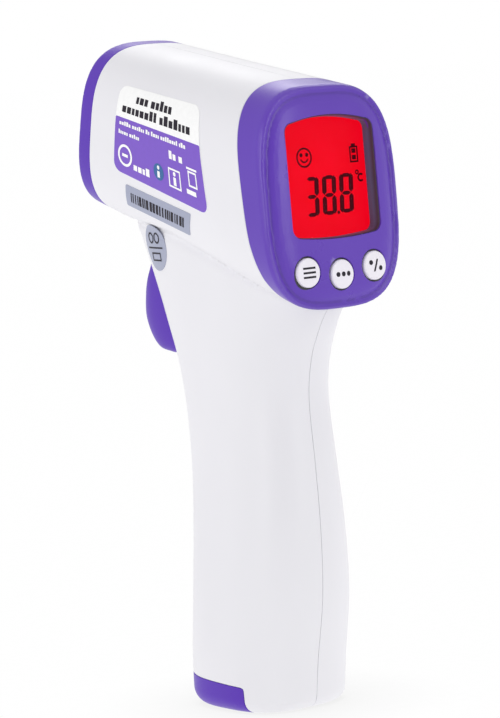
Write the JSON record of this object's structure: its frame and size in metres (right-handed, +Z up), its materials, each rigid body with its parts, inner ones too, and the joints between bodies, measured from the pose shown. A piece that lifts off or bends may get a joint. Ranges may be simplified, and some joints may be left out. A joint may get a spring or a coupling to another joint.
{
  "type": "digital thermometer",
  "caption": "Pistol-grip infrared forehead thermometer with a backlit display, three round keys, a trigger and a hinged battery door in the base of its handle.",
  "frame": {"origin": "centre of the flat base of the handle", "axes": "+Z up along the handle, +Y from the display to the sensor end, +X to the right of the person holding it"},
  "size_m": [0.043, 0.0813, 0.1678],
  "materials": {
    "shell_white": "satin",
    "trim_violet": "satin gloss",
    "key_white": "satin",
    "frame_slate": "matte",
    "clear_window": "clear gloss",
    "lcd": "lit red liquid-crystal panel",
    "light_guide": "clear frosted",
    "rubber_strip": "matte",
    "board": "solder mask",
    "black_plastic": "matte",
    "connector": "matte",
    "plunger": "matte",
    "components": "ceramic and plated",
    "steel": "nickel plated",
    "brass": "machined",
    "alloy": "machined",
    "filter": "coated silicon",
    "cable": "matte",
    "wire_yellow": "insulation",
    "wire_red": "insulation",
    "cell_wrap": "printed sleeve on a metal can",
    "label_white": "printed film",
    "label_grey": "printed film"
  },
  "bodies": {
    "housing": {"left_shell": "shell_white", "right_shell": "shell_white", "front_bezel": "trim_violet", "display_bezel": "trim_violet", "display_frame": "frame_slate", "display_window": "clear_window", "lcd_panel": "lcd", "backlight": "light_guide", "contact_strip": "rubber_strip", "main_board": "board", "board_screws": "steel", "processor_chip": "black_plastic", "board_components": "components", "buzzer": "black_plastic", "cable_connectors": "connector", "key_switches": "black_plastic", "trigger_pin": "steel", "trigger_spring": "steel", "trigger_board": "board", "trigger_switch": "black_plastic", "trigger_wires": "wire_yellow", "probe_cone": "frame_slate", "sensor_holder": "alloy", "thermopile_can": "steel", "sensor_window": "filter", "sensor_leads": "brass", "sensor_board": "board", "sensor_cable": "cable", "case_screws": "steel", "battery_cells": "cell_wrap", "battery_tray": "black_plastic", "battery_contacts": "steel", "upper_cell_spring": "steel", "battery_wires": "wire_red", "door_hinge_pin": "steel", "info_label": "label_white", "serial_label": "label_grey", "inspection_sticker": "label_grey"},
    "trigger": {"trigger": "trim_violet"},
    "trigger_plunger": {"trigger_plunger": "plunger"},
    "battery_door": {"battery_door": "trim_violet", "bridge_contact": "steel", "lower_cell_spring": "steel"},
    "mode_button": {"mode_button": "key_white"},
    "memory_button": {"memory_button": "key_white"},
    "unit_button": {"unit_button": "key_white"},
    "mode_plunger": {"mode_plunger": "plunger"},
    "memory_plunger": {"memory_plunger": "plunger"},
    "unit_plunger": {"unit_plunger": "plunger"}
  },
  "joints": [
    {"name": "trigger_pivot", "type": "hinge", "parent": "housing", "child": "trigger", "pos_m": [0, 0.02485, 0.11268], "axis": [-1, 0, 0], "range_deg": [0, 4], "deforming": ["trigger_spring"]},
    {"name": "trigger_plunger_slide", "type": "slide", "parent": "housing", "child": "trigger_plunger", "axis": [0, -0.9164, 0.4003], "range_m": [0, 0.0005]},
    {"name": "battery_door_hinge", "type": "hinge", "parent": "housing", "child": "battery_door", "pos_m": [0, -0.006, 0.002], "axis": [-1, 0, 0], "range_deg": [0, 100]},
    {"name": "mode_button_press", "type": "slide", "parent": "housing", "child": "mode_button", "axis": [0, 0.9993, -0.0384], "range_m": [0, 0.0004]},
    {"name": "mode_plunger_press", "type": "slide", "parent": "housing", "child": "mode_plunger", "axis": [0, 0.9993, -0.0384], "range_m": [0, 0.0004]},
    {"name": "memory_button_press", "type": "slide", "parent": "housing", "child": "memory_button", "axis": [0, 0.9993, -0.0384], "range_m": [0, 0.0004]},
    {"name": "memory_plunger_press", "type": "slide", "parent": "housing", "child": "memory_plunger", "axis": [0, 0.9993, -0.0384], "range_m": [0, 0.0004]},
    {"name": "unit_button_press", "type": "slide", "parent": "housing", "child": "unit_button", "axis": [0, 0.9993, -0.0384], "range_m": [0, 0.0004]},
    {"name": "unit_plunger_press", "type": "slide", "parent": "housing", "child": "unit_plunger", "axis": [0, 0.9993, -0.0384], "range_m": [0, 0.0004]}
  ],
  "couplings": [
    {"joint": "trigger_plunger_slide", "follows": "trigger_pivot", "m_per_rad": 0.006},
    {"joint": "mode_plunger_press", "follows": "mode_button_press", "ratio": 1},
    {"joint": "memory_plunger_press", "follows": "memory_button_press", "ratio": 1},
    {"joint": "unit_plunger_press", "follows": "unit_button_press", "ratio": 1}
  ]
}
